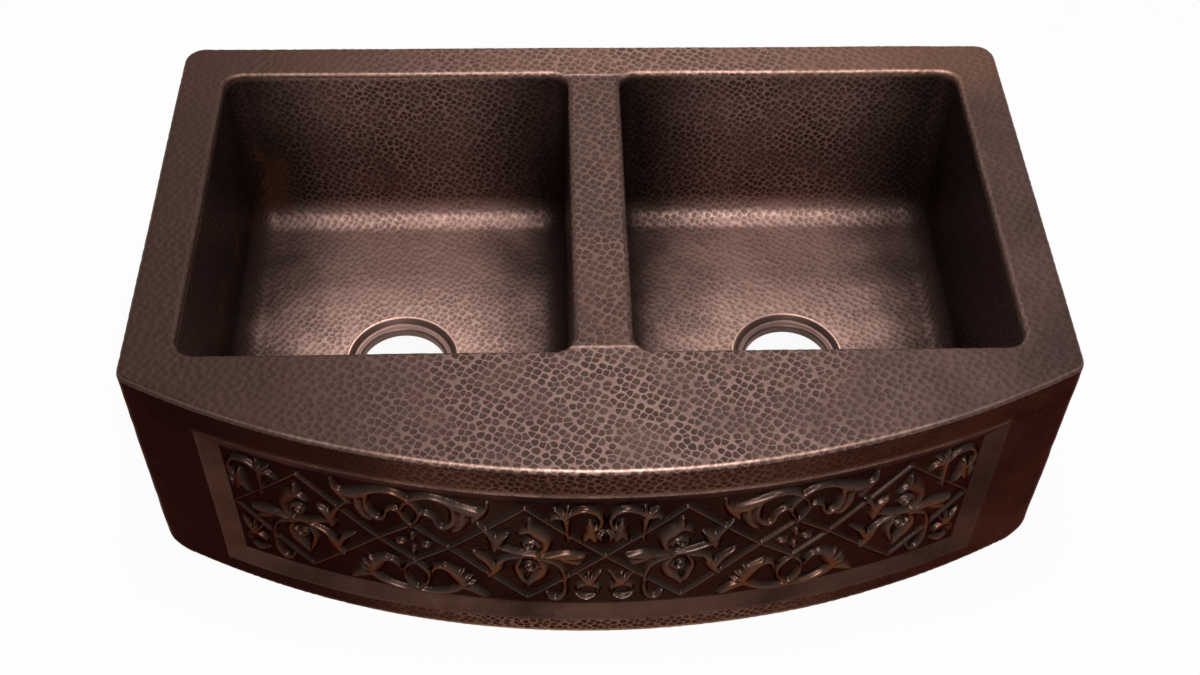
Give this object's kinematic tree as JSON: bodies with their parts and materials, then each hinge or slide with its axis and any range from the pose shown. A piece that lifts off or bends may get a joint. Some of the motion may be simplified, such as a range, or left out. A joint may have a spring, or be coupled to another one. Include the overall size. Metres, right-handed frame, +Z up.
{
  "type": "kitchen sink",
  "caption": "Hammered copper apron-front kitchen sink with paired bowls and a bowed front panel embossed with a trellis and scrolls.",
  "frame": {"origin": "centre of the deck's underside, the plane that rests on the cabinet, midway between the back edge and the front of the bow", "axes": "+X to the right across the sink's width, +Y back to the wall, +Z up; the apron faces -Y"},
  "size_m": [0.838, 0.545, 0.254],
  "materials": {
    "hammered_deck": "hammered, dark brown patina",
    "hammered_bowl": "hammered, dark brown patina",
    "smooth_seat": "smooth, worn patina",
    "hammered_apron": "hammered, dark brown patina",
    "smooth_apron": "smooth, dark red-brown patina",
    "smooth_bevel": "smooth, brown patina",
    "embossed_panel": "embossed, dark patina with rubbed highlights"
  },
  "bodies": {
    "root": {"back_deck": "hammered_deck", "left_deck": "hammered_deck", "right_deck": "hammered_deck", "divider_deck": "hammered_deck", "front_deck": "hammered_deck", "left_bowl": "hammered_bowl", "right_bowl": "hammered_bowl", "left_drain_ring": "smooth_seat", "right_drain_ring": "smooth_seat", "apron_top_rail": "hammered_apron", "apron_bottom_rail": "hammered_apron", "apron_left_stile": "smooth_apron", "apron_right_stile": "smooth_apron", "bevel_top": "smooth_bevel", "bevel_bottom": "smooth_bevel", "bevel_left": "smooth_bevel", "bevel_right": "smooth_bevel", "apron_panel": "embossed_panel", "left_side_return": "smooth_apron", "right_side_return": "smooth_apron"}
  },
  "joints": []
}
